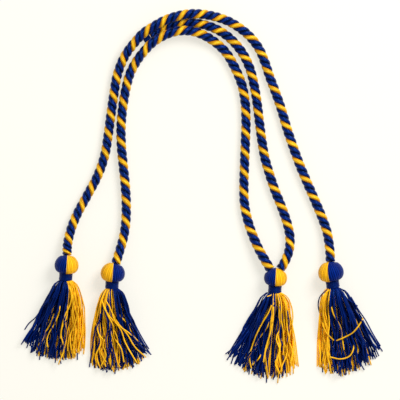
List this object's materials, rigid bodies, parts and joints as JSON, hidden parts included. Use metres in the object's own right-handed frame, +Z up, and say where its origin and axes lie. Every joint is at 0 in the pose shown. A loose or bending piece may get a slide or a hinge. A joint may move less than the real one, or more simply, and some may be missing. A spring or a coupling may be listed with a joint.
{
  "type": "honor cord",
  "caption": "Twisted two-colour cord with ball-headed yarn tassels at its ends, worn loose round the neck over a gown, lying flat in an arch.",
  "frame": {"origin": "on the surface that the cord lies on, under the middle of the box around the four tassels", "axes": "+Z up from that surface, +Y from the tassels towards the top of the arch, +X across the four tassels"},
  "size_m": [0.3564, 0.37, 0.0256],
  "materials": {
    "twisted_rope": "glossy rayon rope of three strands, two royal blue and one gold",
    "blue_yarn": "royal blue rayon yarn with a soft sheen",
    "gold_yarn": "gold rayon yarn with a soft sheen",
    "band_thread": "royal blue thread wound flat in close turns"
  },
  "bodies": {
    "root": {"cord_outer": "twisted_rope", "cord_inner": "twisted_rope", "cord_middle": "twisted_rope", "cord_middle_whipping": "band_thread", "tassel_1_blue_yarn": "blue_yarn", "tassel_1_gold_yarn": "gold_yarn", "tassel_1_neck_band": "band_thread", "tassel_2_blue_yarn": "blue_yarn", "tassel_2_gold_yarn": "gold_yarn", "tassel_2_neck_band": "band_thread", "tassel_3_blue_yarn": "blue_yarn", "tassel_3_gold_yarn": "gold_yarn", "tassel_3_neck_band": "band_thread", "tassel_4_blue_yarn": "blue_yarn", "tassel_4_gold_yarn": "gold_yarn", "tassel_4_neck_band": "band_thread"}
  },
  "joints": []
}
